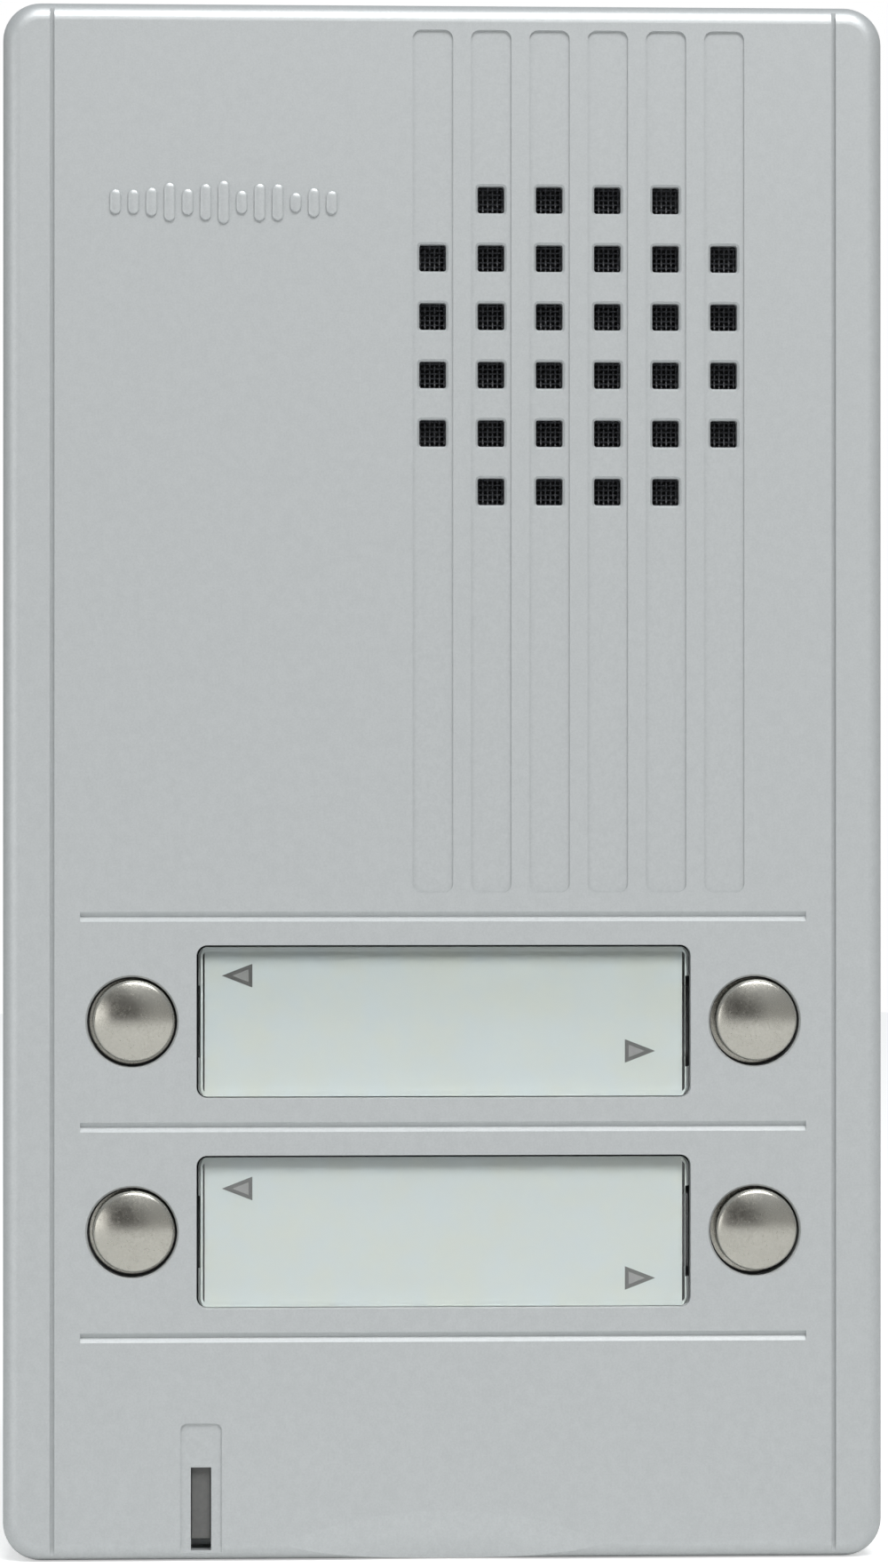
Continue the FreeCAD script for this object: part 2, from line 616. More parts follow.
def screw(name, x, z, seat, head_radius, head_height, radius, length):
    """A cross-headed screw driven from the wall side; seat is the height of its head's face."""
    head = rod(name + "_head", x, seat, z, head_radius, head_height)
    shank = rod(name + "_shank", x, "%s + %s" % (seat, length), z, radius, length)
    solid = fuse(name + "_solid", [head, shank])
    recess_front = "%s - %s / 2" % (seat, head_height)
    blade = "%s * 1.3" % head_radius
    bars = [block(name + "_bar", x, recess_front, z, wide, head_height, tall)
            for wide, tall in ((blade, "%s / 4" % blade), ("%s / 4" % blade, blade))]
    return cut(name, solid, fuse(name + "_cross", bars))


def small_screws(label, places, seat):
    """A group of the small screws."""
    return group(label, [screw(label + "_%d" % index, x, z, seat, "small_screw_head",
                               "small_head_height", "small_screw", "small_screw_length")
                         for index, (x, z) in enumerate(places)])


# ---------------------------------------------------------------- front cover

def cover_shell(body):
    """The cast box: a rounded outline, a rounded front edge, and the hollow behind."""
    outline = new_sketch(body, offset=FACE)
    draw_rectangle(outline, "0", "0", "panel_width", "panel_height", "corner_radius")
    box = pad(body, outline, "panel_depth - gasket_thick", to_wall=True)
    dress(body, "Fillet", box, lambda edge: at_height(edge, FACE), "Radius", "front_round")
    hollow = new_sketch(body, offset="gasket_thick")
    draw_rectangle(hollow, "0", "0", "panel_width - 2 * wall_thick",
                   "panel_height - 2 * wall_thick", "corner_radius - wall_thick")
    pocket(body, hollow, "panel_depth - face_thick - gasket_thick", to_front=True)


def cover_grooves(body):
    """Two long wing grooves and the V grooves between the button rows."""
    wings = new_sketch(body, offset=FACE)
    for sign in SIDES.values():
        draw_rectangle(wings, "%s * (%s - wing_inset)" % (sign, HALF_WIDTH), "0",
                       "wing_groove_width", "panel_height")
    pocket(body, wings, "wing_groove_depth")
    vee = new_sketch(body, "YZ_Plane", "row_inset - %s" % HALF_WIDTH)
    draw_outline(vee, [("-%s" % FACE, "%s - row_groove_width / 2" % FIRST_GROOVE),
                       ("-%s" % FACE, "%s + row_groove_width / 2" % FIRST_GROOVE),
                       ("row_groove_depth - %s" % FACE, FIRST_GROOVE)])
    groove = pocket(body, vee, "panel_width - 2 * row_inset", to_front=True)
    pattern = body.newObject("PartDesign::LinearPattern", body.Name + "_rows")
    pattern.Originals = [groove]
    pattern.Direction = (vee, ["V_Axis"])
    pattern.Reversed = True
    bind(pattern, "Occurrences", "row_count + 1")
    bind(pattern, "Length", "row_count * row_pitch")
    body.Tip = pattern


def cover_grille(body):
    """Recessed strips, then bevelled square holes: the corners of the square have none."""
    strip_top = "%s - strip_drop" % HALF_HEIGHT
    strip_bottom = "%s + strip_gap" % FIRST_GROOVE
    first_column = "%s - (grille_count - 1) / 2 * hole_pitch" % GRILLE_X
    strip = new_sketch(body, offset=FACE)
    draw_rectangle(strip, first_column, "(%s + %s) / 2" % (strip_top, strip_bottom),
                   "strip_width", "%s - (%s)" % (strip_top, strip_bottom), "strip_round")
    strips = pocket(body, strip, "strip_depth")
    repeat_along(body, [strips], strip, ("grille_count", "hole_pitch"), ("1", "0"))
    fields = (("(grille_count - 3)", "(grille_count - 1)", ("grille_count - 2", "hole_pitch"),
               ("grille_count", "hole_pitch")),
              ("(grille_count - 1)", "(grille_count - 3)",
               ("2", "(grille_count - 1) * hole_pitch"), ("grille_count - 2", "hole_pitch")))
    for left_steps, low_steps, across, up in fields:
        x = "%s - %s / 2 * hole_pitch" % (GRILLE_X, left_steps)
        z = "%s - %s / 2 * hole_pitch" % (GRILLE_Z, low_steps)
        square = new_sketch(body, offset="%s - hole_bevel" % STRIP_FLOOR)
        draw_rectangle(square, x, z, "hole_side", "hole_side", "hole_round")
        bevel = pocket(body, square, "hole_bevel", to_front=True, taper=45)
        through = new_sketch(body, offset=FACE)
        draw_rectangle(through, x, z, "hole_side", "hole_side", "hole_round")
        hole = pocket(body, through, "face_thick + 1")
        repeat_along(body, [bevel, hole], through, across, up)


def cover_openings(body):
    """Button holes with a small bevel, and the two name windows."""
    holes = new_sketch(body, offset=FACE)
    for x, z in BUTTON_HOLES.values():
        draw_circle(holes, x, z, "button_hole_radius")
    drilled = pocket(body, holes, "face_thick + 1")

    def rim(edge):
        round_edge = isinstance(edge.Curve, Part.Circle)
        return (round_edge and at_height(edge, FACE)
                and abs(edge.Curve.Radius - number("button_hole_radius")) < 0.01)
    dress(body, "Chamfer", drilled, rim, "Size", "button_bevel")
    windows = new_sketch(body, offset=FACE)
    for z in ROWS.values():
        draw_rectangle(windows, "0", z, "2 * %s" % WINDOW_HALF, "window_height", "window_round")
    pocket(body, windows, "face_thick + 1")


def cover_microphone_slot(body):
    """A shallow recess that runs off the bottom edge, with the slot in it."""
    recess = new_sketch(body, offset=FACE)
    overrun = "(2 * mic_pad_round)"
    draw_rectangle(recess, MIC_X, "%s + (mic_pad_rise - %s) / 2" % (BOTTOM, overrun),
                   "mic_pad_width", "mic_pad_rise + " + overrun, "mic_pad_round")
    pocket(body, recess, "strip_depth")
    slot = new_sketch(body, offset=FACE)
    draw_rectangle(slot, MIC_X, "%s + (mic_slot_rise + mic_slot_foot) / 2" % BOTTOM,
                   "mic_slot_width", "mic_slot_rise - mic_slot_foot")
    pocket(body, slot, "mic_slot_depth")


def cover_scoop(body):
    """A finger scoop at the bottom edge, where the face rolls back as round a wide wheel.

    It is turned round an axis square to the wall, so that its rim is an arc. The profile starts
    at the rim almost level with the face and gets steeper towards the edge of the panel.
    """
    rim = "((scoop_half ^ 2 + scoop_rise ^ 2) / (2 * scoop_rise))"
    reach = "(%s - 1.5 * scoop_rise)" % rim
    start_up = "(%s + scoop_bend * sin(scoop_start * 1 deg))" % rim
    start_out = "(%s - scoop_bend * cos(scoop_start * 1 deg))" % FACE
    end_out = "(%s + sqrt(scoop_bend ^ 2 - (%s - %s) ^ 2))" % (start_out, start_up, reach)
    clear = "(%s + 1)" % FACE
    sketch = new_sketch(body, "YZ_Plane")
    bind(sketch, "AttachmentOffset.Base.y", "%s + scoop_rise - %s" % (BOTTOM, rim))
    draw_outline(sketch, [("-" + FACE, rim), ("-" + end_out, reach), ("-" + clear, reach),
                          ("-" + clear, rim)],
                 arcs={0: ("-" + start_out, start_up, 1)})
    turn(body, sketch, kind="Groove")


def cover_bosses(body):
    """Screw bosses for the chassis and the loudspeaker, with their pilot holes."""
    for places, foot in ((BOSSES, CHASSIS_FRONT), (CLAMPS, FLANGE_BACK)):
        posts = new_sketch(body, offset=FACE_BACK)
        for x, z in places:
            draw_circle(posts, x, z, "boss_radius")
        pad(body, posts, "%s - %s" % (FACE_BACK, foot), to_wall=True)
        pilots = new_sketch(body, offset=foot)
        for x, z in places:
            draw_circle(pilots, x, z, "small_screw + thread_gap")
        pocket(body, pilots, "%s - %s + pilot_past" % (FACE_BACK, foot), to_front=True)


def cover_fixings(body):
    """Two hanging pegs under the top wall and the screw hole in the bottom wall."""
    pegs = new_sketch(body, offset="peg_out")
    root = "wall_thick / 2"
    for sign in SIDES.values():
        draw_rectangle(pegs, "%s * peg_spacing / 2" % sign,
                       "%s - wall_thick + (%s - peg_length) / 2" % (HALF_HEIGHT, root),
                       "peg_width", "peg_length + %s" % root)
    pad(body, pegs, "peg_thick", to_wall=True)
    hole = new_sketch(body, "XY_Plane", BOTTOM)
    draw_circle(hole, "0", "-cover_screw_out", "cover_screw_radius + shank_gap")
    drilled = pocket(body, hole, "wall_thick + 1", to_front=True)

    def rim(edge):
        low = abs(edge.BoundBox.ZMax - number(BOTTOM)) < 0.01
        return low and isinstance(edge.Curve, Part.Circle) and edge.Curve.Radius < 2.5
    dress(body, "Chamfer", drilled, rim, "Size", "cover_screw_head - cover_screw_radius")


def cover_emblem(body):
    """A plain row of raised bars whose heights swell and fall like a sound wave."""
    count = int(number("emblem_count"))
    bars = new_sketch(body, offset=FACE)
    for index in range(count):
        swell = abs(math.sin(math.pi * (index + 1) / (count + 1)) * math.cos(1.1 * index))
        share = 0.35 + 0.65 * swell
        draw_slot(bars, "%s + emblem_inset + %d * emblem_pitch" % ("(-%s)" % HALF_WIDTH, index),
                  "%s - emblem_drop" % HALF_HEIGHT, "emblem_bar / 2",
                  "(emblem_height * %.3f)" % share)
    pad(body, bars, "emblem_relief")


def front_cover():
    """The die-cast front cover with everything cut into it."""
    body = new_body("front_cover")
    cover_shell(body)
    cover_scoop(body)
    cover_grooves(body)
    cover_grille(body)
    cover_openings(body)
    cover_microphone_slot(body)
    cover_bosses(body)
    cover_fixings(body)
    cover_emblem(body)


# ---------------------------------------------------------------- loudspeaker

def loudspeaker():
    """The loudspeaker, front to back, on an axis through the middle of the grille."""
    side = "((grille_count - 1) * hole_pitch + hole_side + 2 * mesh_margin)"
    node(block("mesh_block", GRILLE_X, FACE_BACK, GRILLE_Z, side, "mesh_thick", side),
         "speaker_mesh")
    rim = "(speaker_radius - speaker_land)"
    centre = (GRILLE_X, GRILLE_Z)
    inside = "(%s + surround_land + slide_gap)" % rim
    turned_body("speaker_gasket", [(MESH_BACK, inside), (MESH_BACK, "speaker_radius"),
                                   (FLANGE_FRONT, "speaker_radius"), (FLANGE_FRONT, inside)],
                *centre)
    neck = "(top_plate_radius + 1)"
    frame = turned_body("speaker_frame", [
        (FLANGE_FRONT, "speaker_radius"), (FLANGE_FRONT, rim),
        ("%s + basket_wall" % PLATE_FRONT, neck),
        ("%s + basket_wall" % PLATE_FRONT, "magnet_bore"), (PLATE_FRONT, "magnet_bore"),
        (PLATE_FRONT, "%s + basket_wall" % neck),
        (FLANGE_BACK, "%s + basket_wall" % rim), (FLANGE_BACK, "speaker_radius")], *centre)
    windows = new_sketch(frame, offset=FLANGE_FRONT)
    draw_circle(windows, "(%s + %s) / 2" % (rim, neck), "0", "basket_window")
    opening = pocket(frame, windows, "basket_depth + 1")
    ring = frame.newObject("PartDesign::PolarPattern", "basket_windows_ring")
    ring.Originals = [opening]
    ring.Axis = (windows, ["N_Axis"])
    ring.Angle = 360
    bind(ring, "Occurrences", "basket_windows")
    frame.Tip = ring
    gap_radius = "(coil_radius + coil_thick + coil_gap)"
    turned_body("speaker_top_plate", [(PLATE_FRONT, gap_radius),
                                      (PLATE_FRONT, "top_plate_radius"),
                                      (PLATE_BACK, "top_plate_radius"),
                                      (PLATE_BACK, gap_radius)], *centre)
    turned_body("speaker_magnet", [(PLATE_BACK, "magnet_bore"), (PLATE_BACK, "magnet_radius"),
                                   (MAGNET_BACK, "magnet_radius"),
                                   (MAGNET_BACK, "magnet_bore")], *centre)
    turned_body("speaker_yoke", [(PLATE_FRONT, "0"), (PLATE_FRONT, "pole_radius"),
                                 (MAGNET_BACK, "pole_radius"),
                                 (MAGNET_BACK, "top_plate_radius"),
                                 (YOKE_BACK, "top_plate_radius"), (YOKE_BACK, "0")], *centre)
    moving_cone(centre)


def moving_cone(centre):
    """The pieces of the loudspeaker that move: cone, dust cap, voice coil and surround."""
    edge = FLANGE_FRONT
    neck = "(%s - cone_depth)" % edge
    coil_outer = "(coil_radius + coil_thick)"
    lip = "(cone_radius + cone_lip)"
    turned_body("speaker_cone", [
        (edge, lip), (edge, "cone_radius"), (neck, "%s + cone_thick" % coil_outer),
        (neck, coil_outer), ("%s - cone_thick" % neck, coil_outer),
        ("%s - cone_thick" % neck, "%s + cone_thick" % coil_outer),
        ("%s - cone_thick" % edge, "cone_radius"), ("%s - cone_thick" % edge, lip)], *centre)
    turned_body("voice_coil", [(neck, "coil_radius"), (neck, coil_outer),
                               ("%s - coil_length" % neck, coil_outer),
                               ("%s - coil_length" % neck, "coil_radius")], *centre)
    dome = "((%s ^ 2 + cap_rise ^ 2) / (2 * cap_rise))" % coil_outer
    turned_body("speaker_dust_cap", [(neck, "0"), (neck, coil_outer),
                                     ("%s + cap_rise" % neck, "0")], *centre,
                arcs={1: ("-(%s + cap_rise - %s)" % (neck, dome), "0", 1)})
    rim = "(speaker_radius - speaker_land)"
    land = "(%s + surround_land)" % rim
    skin = "(%s + surround_thick)" % edge
    crest = "(%s + surround_rise)" % edge
    peak = "((%s + %s) / 2)" % (lip, rim)
    turned_body("speaker_surround", [
        (edge, "cone_radius"), (skin, "cone_radius"), (skin, lip), (crest, peak), (skin, rim),
        (skin, land), (edge, land), (edge, rim), ("%s - surround_thick" % crest, peak),
        (edge, lip)], *centre)


def speaker_mounting():
    """Solder tab, clamps and their screws, all behind the loudspeaker's flange."""
    node(block("tab_block", GRILLE_X, FLANGE_BACK,
               "%s - speaker_radius - tab_overhang + tab_height / 2" % GRILLE_Z,
               "tab_width", "flange_thick", "tab_height"), "speaker_terminals")
    clamps = []
    for index, (x, z) in enumerate(CLAMPS):
        length = "(clamp_lap + clamp_reach + boss_radius)"
        middle = clamp_place(index, "((clamp_reach + boss_radius - clamp_lap) / 2)")
        plate = doc.addObject("Part::Box", "clamp_plate_%d" % index)
        bind(plate, "Length", length)
        bind(plate, "Width", "clamp_thick")
        bind(plate, "Height", "clamp_width")
        turn_y = FreeCAD.Rotation(FreeCAD.Vector(0, 1, 0), -clamp_angle(index))
        plate.Placement.Rotation = turn_y
        cosine = "cos(%g deg)" % clamp_angle(index)
        sine = "sin(%g deg)" % clamp_angle(index)
        place(plate, "%s - %s / 2 * %s + clamp_width / 2 * %s" % (middle[0], length, cosine, sine),
              "-%s" % FLANGE_BACK,
              "%s - %s / 2 * %s - clamp_width / 2 * %s" % (middle[1], length, sine, cosine))
        hole = rod("clamp_hole_%d" % index, x, FLANGE_BACK, z, "small_screw + shank_gap",
                   "clamp_thick")
        clamps.append(cut("clamp_%d" % index, plate, hole))
    group("speaker_clamps", clamps)
    small_screws("speaker_screws", CLAMPS, CLAMP_BACK)


# ---------------------------------------------------------------- call buttons

def call_button(name, x, z):
    """One call button: metal cap, plastic stem, spring, push switch and its plunger."""
    radius = "(button_hole_radius - button_gap)"
    edge = "(%s + cap_edge_out)" % FACE
    crown = "(%s + cap_crown)" % edge
    dome = "((%s ^ 2 + cap_crown ^ 2) / (2 * cap_crown))" % radius
    dome_out = "(%s - %s)" % (crown, dome)
    inner = "(%s - cap_edge_round)" % radius
    reach = "(%s - cap_edge_round)" % dome
    round_out = "(%s + sqrt(%s ^ 2 - %s ^ 2))" % (dome_out, reach, inner)
    touch = "(%s * %s / %s)" % (inner, dome, reach)
    touch_out = "(%s + (%s - %s) * %s / %s)" % (dome_out, round_out, dome_out, dome, reach)
    seat = "(%s + stem_seat)" % CAP_FLANGE_BACK
    turned_body("button_cap_" + name, [
        (seat, "0"), (crown, "0"), (touch_out, touch), (round_out, radius),
        (CAP_FLANGE_FRONT, radius),
        (CAP_FLANGE_FRONT, "cap_flange_radius"), (CAP_FLANGE_BACK, "cap_flange_radius"),
        (CAP_FLANGE_BACK, "stem_radius"), (seat, "stem_radius")], x, z,
        arcs={1: ("-" + dome_out, "0", -1), 2: ("-" + round_out, inner, -1)})
    node(rod("stem_rod_" + name, x, seat, z, "stem_radius", "%s - %s" % (seat, STEM_BACK)),
         "button_stem_" + name)
    button_spring(name, x, z)
    shaft = "(switch_plunger_radius + 0.05)"
    well = "(switch_plunger_depth + switch_travel + 0.1)"
    housing = block("switch_block_" + name, x, SWITCH_FRONT, z, "switch_side", "switch_height",
                    "switch_side")
    bore = rod("switch_bore_" + name, x, SWITCH_FRONT, z, shaft, well)
    node(cut("switch_" + name, housing, bore), "switch_body_" + name)
    node(rod("plunger_rod_" + name, x, PLUNGER_FRONT, z, "switch_plunger_radius",
             "switch_plunger_rise + switch_plunger_depth"), "switch_plunger_" + name)


HEIGHT_AND_TURNS = 2


def button_spring(name, x, z):
    """A round-wire coil spring between the cap's flange and the chassis."""
    body = new_body("button_spring_" + name)
    sketch = new_sketch(body, "YZ_Plane")
    draw_circle(sketch, "-(%s + spring_wire + 0.02)" % CHASSIS_FRONT, "spring_radius",
                "spring_wire")
    coil = body.newObject("PartDesign::AdditiveHelix", body.Name + "_helix")
    coil.Profile = sketch
    coil.ReferenceAxis = (sketch, ["H_Axis"])
    coil.Mode = HEIGHT_AND_TURNS
    height = "(spring_length - 2 * spring_wire - 0.04)"
    bind(coil, "Height", height)
    bind(coil, "Turns", "spring_turns")
    coil.Reversed = True
    body.Tip = coil
    place(body, x=x, z=z)


def button_seals():
    """Rubber rings behind the cover, one round each button hole."""
    rings = []
    for name, (x, z) in BUTTON_HOLES.items():
        disc = rod("seal_disc_" + name, x, FACE_BACK, z, "cap_flange_radius", "seal_thick")
        hole = rod("seal_hole_" + name, x, FACE_BACK, z, "button_hole_radius - button_gap / 2",
                   "seal_thick")
        rings.append(cut("seal_" + name, disc, hole))
    group("button_seals", rings)


# ---------------------------------------------------------------- name windows

def name_window(row, z):
    """One name window: clear snap-in lens, paper card and light guide."""
    half = "(%s - window_gap)" % WINDOW_HALF
    height = "(window_height - 2 * window_gap)"
    lens = new_body("window_lens_" + row)
    outline = new_sketch(lens, offset=LENS_FRONT)
    draw_rectangle(outline, "0", "0", "2 * " + half, height, "(window_round - window_gap)")
    plate = pad(lens, outline, "lens_thick", to_wall=True)
    dress(lens, "Chamfer", plate, lambda edge: at_height(edge, LENS_FRONT), "Size", "lens_bevel")
    legs = new_sketch(lens, offset=LENS_BACK)
    for sign in SIDES.values():
        draw_rectangle(legs, "%s * (%s - lens_leg_thick / 2)" % (sign, half), "0",
                       "lens_leg_thick", "lens_leg_width")
    pad(lens, legs, "lens_leg_length", to_wall=True)
    notch = new_sketch(lens, offset=LENS_FRONT)
    draw_rectangle(notch, half, "0", "2 * pry_depth", "pry_width")
    pocket(lens, notch, "lens_thick")
    place(lens, z=z)

    node(block("card_block_" + row, "0", CARD_FRONT, z, "2 * " + GUIDE_HALF, "card_thick",
               GUIDE_HEIGHT), "name_card_" + row)

    guide = new_body("light_guide_" + row)
    front = new_sketch(guide, offset=CARD_BACK)
    draw_rectangle(front, "0", "0", "2 * " + GUIDE_HALF, GUIDE_HEIGHT)
    pad(guide, front, "%s - %s" % (CARD_BACK, CHASSIS_FRONT), to_wall=True)
    hollow = new_sketch(guide, offset=CHASSIS_FRONT)
    draw_rectangle(hollow, "0", "0", "2 * (%s - guide_wall)" % GUIDE_HALF,
                   "%s - 2 * guide_wall" % GUIDE_HEIGHT)
    pocket(guide, hollow, "%s - %s - guide_front" % (CARD_BACK, CHASSIS_FRONT), to_front=True)
    place(guide, z=z)


def backlights():
    """Two light-emitting diodes on the board behind each name window."""
    lamps = []
    for row, z in ROWS.items():
        for side, sign in SIDES.items():
            lamps.append(block("lamp_%s_%s" % (row, side), "%s * lamp_spacing / 2" % sign,
                               "%s + lamp_depth" % BOARD_FRONT, z, "lamp_width", "lamp_depth",
                               "lamp_height"))
    group("backlight_leds", lamps)


# ---------------------------------------------------------------- chassis and board

def inner_chassis():
    """The moulded carrier: a plate, a rim round the board, posts, guides and openings."""
    body = new_body("inner_chassis")
    middle = "(%s + %s) / 2" % (CHASSIS_TOP, CHASSIS_BOTTOM)
    height = "(%s - %s)" % (CHASSIS_TOP, CHASSIS_BOTTOM)
    plate = new_sketch(body, offset=CHASSIS_FRONT)
    draw_rectangle(plate, "0", middle, "2 * " + CHASSIS_HALF, height)
    pad(body, plate, "%s - %s" % (CHASSIS_FRONT, BOARD_BACK), to_wall=True)
    inside = new_sketch(body, offset=BOARD_BACK)
    draw_rectangle(inside, "0", middle, "2 * (%s - chassis_rim)" % CHASSIS_HALF,
                   "%s - 2 * chassis_rim" % height)
    pocket(body, inside, "%s - %s" % (CHASSIS_BACK, BOARD_BACK), to_front=True)
    posts = new_sketch(body, offset=CHASSIS_BACK)
    for x, z in POSTS:
        draw_circle(posts, x, z, "boss_radius")
    pad(body, posts, "post_length", to_wall=True)
    pilots = new_sketch(body, offset=BOARD_FRONT)
    for x, z in POSTS:
        draw_circle(pilots, x, z, "small_screw + thread_gap")
    pocket(body, pilots, "post_length", to_front=True)
    holes = new_sketch(body, offset=CHASSIS_FRONT)
    for x, z in BUTTONS.values():
        draw_circle(holes, x, z, "stem_radius + slide_gap")
    for x, z in BOSSES:
        draw_circle(holes, x, z, "small_screw + shank_gap")
    for z in ROWS.values():
        draw_rectangle(holes, "0", z, "2 * (%s - light_inset)" % GUIDE_HALF,
                       "%s - 2 * light_inset" % GUIDE_HEIGHT)
    pocket(body, holes, "chassis_thick")
    notch = new_sketch(body, offset=CHASSIS_FRONT)
    notch_top = "(%s + boot_foot + boot_height + 1)" % BOTTOM
    draw_rectangle(notch, MIC_X, "(%s + %s) / 2" % (notch_top, BOTTOM), "boot_width + 1",
                   "%s - %s" % (notch_top, BOTTOM))
    pocket(body, notch, "%s - %s" % (CHASSIS_FRONT, BOARD_BACK))
    small_screws("chassis_screws", BOSSES, CHASSIS_BACK)


def main_board():
    """The circuit board, with its screw holes and what stands on its wall side."""
    body = new_body("main_board")
    outline = new_sketch(body, offset=BOARD_FRONT)
    draw_rectangle(outline, "0", "(%s + %s) / 2" % (BOARD_TOP, BOARD_BOTTOM), "2 * " + BOARD_HALF,
                   "%s - %s" % (BOARD_TOP, BOARD_BOTTOM))
    pad(body, outline, "board_thick", to_wall=True)
    holes = new_sketch(body, offset=BOARD_FRONT)
    for x, z in POSTS:
        draw_circle(holes, x, z, "small_screw + shank_gap")
    pocket(body, holes, "board_thick")
    small_screws("board_screws", POSTS, BOARD_BACK)


def terminal_block():
    """Eight-way screw terminal block: wires enter from above, screws face the wall."""
    top = "(%s - terminal_drop)" % BOARD_TOP
    body = new_body("terminal_block")
    outline = new_sketch(body, offset=BOARD_BACK)
    draw_rectangle(outline, "0", "%s - terminal_height / 2" % top, "terminal_width",
                   "terminal_height")
    pad(body, outline, "terminal_depth", to_wall=True)
    pitch = "(terminal_width / terminal_count)"
    first = "(%s / 2 - terminal_width / 2)" % pitch
    entry_out = "(%s - terminal_depth / 2 - 1)" % BOARD_BACK
    entry = new_sketch(body, "XY_Plane", top)
    draw_rectangle(entry, first, "-%s" % entry_out, "terminal_entry", "terminal_entry")
    entry_cut = pocket(body, entry, "terminal_height / 2")
    repeat_along(body, [entry_cut], entry, ("terminal_count", pitch), ("1", "0"))
    well = new_sketch(body, offset="%s - terminal_depth" % BOARD_BACK)
    draw_circle(well, first, "%s - terminal_height / 2" % top, "terminal_well")
    well_cut = pocket(body, well, "terminal_well_depth", to_front=True)
    repeat_along(body, [well_cut], well, ("terminal_count", pitch), ("1", "0"))
    screws = []
    for index in range(int(number("terminal_count"))):
        x = "%s + %d * %s" % (first, index, pitch)
        z = "%s - terminal_height / 2" % top
        seat = "(%s - terminal_depth + terminal_well_depth)" % BOARD_BACK
        head = rod("terminal_head_%d" % index, x, seat, z, "terminal_well - 0.1",
                   "terminal_well_depth / 2")
        kerf = block("terminal_kerf_%d" % index, x, "%s - terminal_well_depth / 3" % seat, z,
                     "2 * terminal_well", "terminal_well_depth", "terminal_kerf")
        screws.append(cut("terminal_screw_%d" % index, head, kerf))
    group("terminal_screws", screws)


def board_parts():
    """Relay, capacitors, chips, trimmers and lead sockets on the wall side of the board."""
    lower_top = "(%s - terminal_drop - terminal_height)" % BOARD_TOP
    relay_z = "(%s - relay_drop - relay_height / 2)" % lower_top
    node(block("relay_block", "relay_width / 2 - %s + relay_inset" % BOARD_HALF, BOARD_BACK,
               relay_z, "relay_width", "relay_depth", "relay_height"), "lock_relay")
    can_pitch = "(2 * capacitor_radius + capacitor_gap)"
    cans = [rod("can_%d" % index, "%d * %s - capacitor_start" % (index, can_pitch), BOARD_BACK,
                relay_z, "capacitor_radius", "capacitor_depth")
            for index in range(int(number("capacitor_count")))]
    group("capacitors", cans)
    chip_z = "(%s - relay_height / 2 - chip_drop)" % relay_z
    chip_places = (("-large_chip_inset", "large_chip", "large_chip"),
                   ("0", "middle_chip", "0.75 * middle_chip"),
                   ("small_chip_inset", "small_chip", "0.8 * small_chip"))
    chips = [block("chip_%d" % index, x, BOARD_BACK, chip_z, wide, "chip_depth", tall)
             for index, (x, wide, tall) in enumerate(chip_places)]
    group("circuit_chips", chips)
    knobs = []
    for index in range(2):
        x = "%s - trimmer_side / 2 - trimmer_inset" % BOARD_HALF
        z = "%s - %d * (trimmer_side + trimmer_gap)" % (relay_z, index)
        case = block("trimmer_%d" % index, x, BOARD_BACK, z, "trimmer_side", "trimmer_depth",
                     "trimmer_side")
        kerf = block("trimmer_kerf_%d" % index, x,
                     "%s - trimmer_depth + trimmer_kerf_depth" % BOARD_BACK, z,
                     "trimmer_side / 2", "2 * trimmer_kerf_depth", "trimmer_kerf")
        knobs.append(cut("trimmer_cut_%d" % index, case, kerf))
    group("volume_trimmers", knobs)
    sockets = [block("speaker_socket", SOCKET_X, BOARD_BACK,
                     "%s - socket_drop - socket_height / 2" % BOARD_TOP, "socket_width",
                     "socket_depth", "socket_height"),
               block("mic_socket", MIC_X, BOARD_BACK,
                     "%s + mic_socket_rise" % BOTTOM, "socket_width", "socket_depth",
                     "socket_height")]
    group("lead_sockets", sockets)


# ---------------------------------------------------------------- microphone

def microphone():
    """The microphone capsule in a rubber boot whose rib shows in the cover's slot."""
    body = new_body("microphone_boot")
    outline = new_sketch(body, offset=FACE_BACK)
    draw_rectangle(outline, MIC_X, "%s + boot_foot + boot_height / 2" % BOTTOM, "boot_width",
                   "boot_height")
    pad(body, outline, "boot_depth", to_wall=True)
    rib = new_sketch(body, offset=FACE_BACK)
    rib_top = "(%s + mic_slot_rise - boot_rib_gap)" % BOTTOM
    rib_low = "(%s + boot_foot + boot_rib_gap)" % BOTTOM
    draw_rectangle(rib, MIC_X, "(%s + %s) / 2" % (rib_top, rib_low),
                   "mic_slot_width - 2 * boot_rib_gap", "%s - %s" % (rib_top, rib_low))
    pad(body, rib, "boot_rib_out")
    cup = new_sketch(body, offset="%s - boot_depth" % FACE_BACK)
    draw_circle(cup, MIC_X, MIC_Z, "mic_radius")
    pocket(body, cup, "boot_depth - mic_cover", to_front=True)
    channel = new_sketch(body, offset=MIC_FRONT)
    draw_circle(channel, MIC_X, MIC_Z, "sound_bore")
    pocket(body, channel, "mic_cover / 2 + sound_bore", to_front=True)
    drop = new_sketch(body, "XY_Plane", "%s + boot_foot" % BOTTOM)
    draw_circle(drop, MIC_X, "-(%s + mic_cover / 2)" % MIC_FRONT, "sound_bore / 2")
    pocket(body, drop, "mic_rise - boot_foot", to_front=True)
    node(rod("capsule", MIC_X, MIC_FRONT, MIC_Z, "mic_radius", "mic_depth"), "microphone")


# ---------------------------------------------------------------- leads

